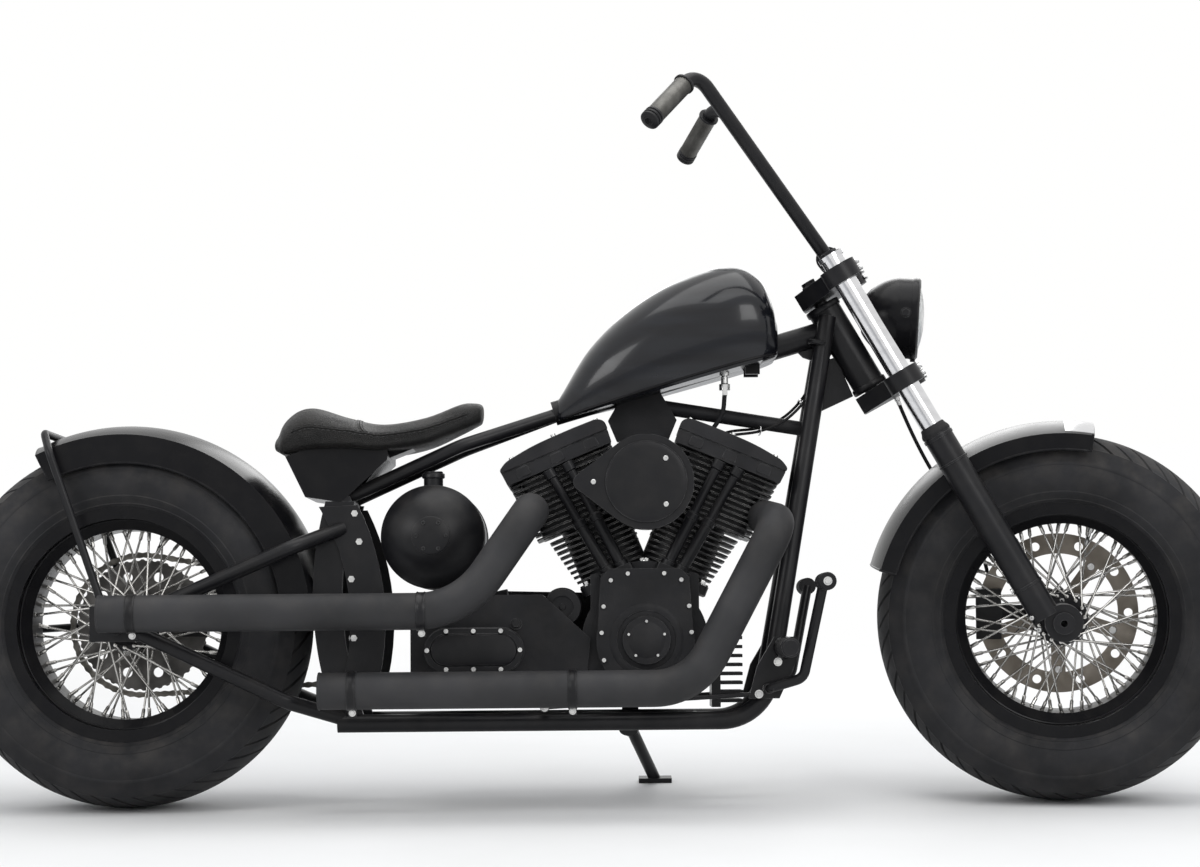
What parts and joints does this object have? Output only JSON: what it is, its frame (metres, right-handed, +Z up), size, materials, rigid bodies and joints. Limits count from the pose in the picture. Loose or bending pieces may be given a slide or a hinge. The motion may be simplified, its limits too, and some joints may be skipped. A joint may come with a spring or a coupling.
{
  "type": "chopper motorcycle",
  "caption": "Low chopper motorcycle with a V-twin engine, raked fork, tall handlebar, solo seat and fat spoked wheels, leaning on its side stand.",
  "frame": {"origin": "on the floor, under the middle of the outline of the parked machine", "axes": "+X forward, +Y to the rider's left, +Z up; the machine leans towards +Y on its side stand"},
  "size_m": [2.3284, 0.7406, 1.2944],
  "materials": {
    "satin_black": "satin",
    "gloss_black": "gloss",
    "exhaust_black": "matte",
    "tyre_rubber": "matte",
    "rubber": "matte",
    "knurled_steel": "knurled",
    "bright_steel": "polished",
    "spoke_steel": "satin",
    "disc_steel": "brushed",
    "leather": "smooth",
    "lamp_glass": "clear",
    "red_lens": "gloss"
  },
  "bodies": {
    "frame": {"steering_neck": "satin_black", "backbone_tube": "satin_black", "cradle_right": "satin_black", "cradle_left": "satin_black", "seat_rails": "satin_black", "rear_uprights": "satin_black", "cross_tubes": "satin_black", "rear_stay_right": "satin_black", "rear_stay_left": "satin_black", "rear_axle": "bright_steel", "rear_fender": "gloss_black", "fender_strut": "satin_black", "stand_bracket": "satin_black", "cylinders": "satin_black", "rocker_covers": "satin_black", "pushrod_tubes": "satin_black", "crankcase": "satin_black", "cam_cover": "satin_black", "engine_mount": "satin_black", "carburettor": "satin_black", "air_cleaner": "satin_black", "front_exhaust_pipe": "exhaust_black", "rear_exhaust_pipe": "exhaust_black", "gearbox": "satin_black", "primary_cover": "satin_black", "drive_chain": "disc_steel", "oil_tank": "satin_black", "fuel_tank": "gloss_black", "fuel_cap": "gloss_black", "seat": "leather", "seat_pan": "leather", "foot_controls": "satin_black", "foot_pegs": "rubber", "rear_brake_caliper": "satin_black", "plate_bracket": "satin_black", "tail_lamp": "red_lens"},
    "fork": {"top_tree": "satin_black", "bottom_tree": "satin_black", "fork_tubes": "bright_steel", "fork_legs": "satin_black", "front_axle": "bright_steel", "front_fender": "gloss_black", "headlight_shell": "satin_black", "headlight_lens": "lamp_glass", "handlebar": "satin_black", "grips": "knurled_steel", "front_brake_caliper": "satin_black", "front_brake_hose": "rubber"},
    "front_wheel": {"front_tyre": "tyre_rubber", "front_rim": "gloss_black", "front_hub": "satin_black", "front_spokes": "spoke_steel", "front_brake_disc": "disc_steel"},
    "rear_wheel": {"rear_tyre": "tyre_rubber", "rear_rim": "gloss_black", "rear_hub": "satin_black", "rear_spokes": "spoke_steel", "rear_sprocket": "disc_steel"},
    "stand": {"side_stand": "satin_black"}
  },
  "joints": [
    {"name": "steering", "type": "hinge", "parent": "frame", "child": "fork", "pos_m": [0.45763, -0.02231, 0.82209], "axis": [-0.5, 0.0755, 0.8627], "range_deg": [-20, 36]},
    {"name": "front_wheel_spin", "type": "hinge", "parent": "fork", "child": "front_wheel", "pos_m": [0.8371, -0.07684, 0.32813], "axis": [0.1205, 0.9926, -0.017], "continuous": true},
    {"name": "rear_wheel_spin", "type": "hinge", "parent": "frame", "child": "rear_wheel", "pos_m": [-0.83422, -0.06558, 0.32754], "axis": [0, 0.9962, -0.0872], "continuous": true},
    {"name": "side_stand_fold", "type": "hinge", "parent": "frame", "child": "stand", "pos_m": [0.06178, 0.0653, 0.12537], "axis": [0.0645, 0.6758, 0.7343], "range_deg": [0, 103.1]}
  ]
}
